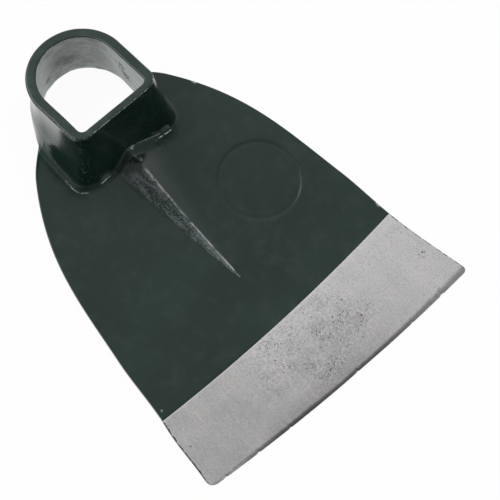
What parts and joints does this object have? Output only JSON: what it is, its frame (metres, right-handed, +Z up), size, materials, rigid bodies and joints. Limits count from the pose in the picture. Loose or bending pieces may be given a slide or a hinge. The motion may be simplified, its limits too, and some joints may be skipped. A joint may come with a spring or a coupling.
{
  "type": "grub hoe head",
  "caption": "Grub hoe head: flared steel blade with a ground cutting edge, a stiffening rib and a leaning D-shaped eye for a wooden handle.",
  "frame": {"origin": "middle of the head's length and width, on the plane of the blade's back", "axes": "+X across the blade, +Y from the cutting edge to the eye, +Z up from the blade's back to the eye's rim"},
  "size_m": [0.2, 0.254, 0.0542],
  "materials": {
    "green_paint": "semi-gloss dark green enamel on steel",
    "ground_steel": "bare ground steel with grinding lines along the blade",
    "weld_paint": "rippled weld under the same dark green enamel"
  },
  "bodies": {
    "root": {"blade_plate": "green_paint", "edge_steel": "ground_steel", "eye_socket": "green_paint", "stiffening_rib": "green_paint", "socket_weld_left": "weld_paint", "socket_weld_right": "weld_paint", "rib_weld_left": "weld_paint", "rib_weld_right": "weld_paint"}
  },
  "joints": []
}
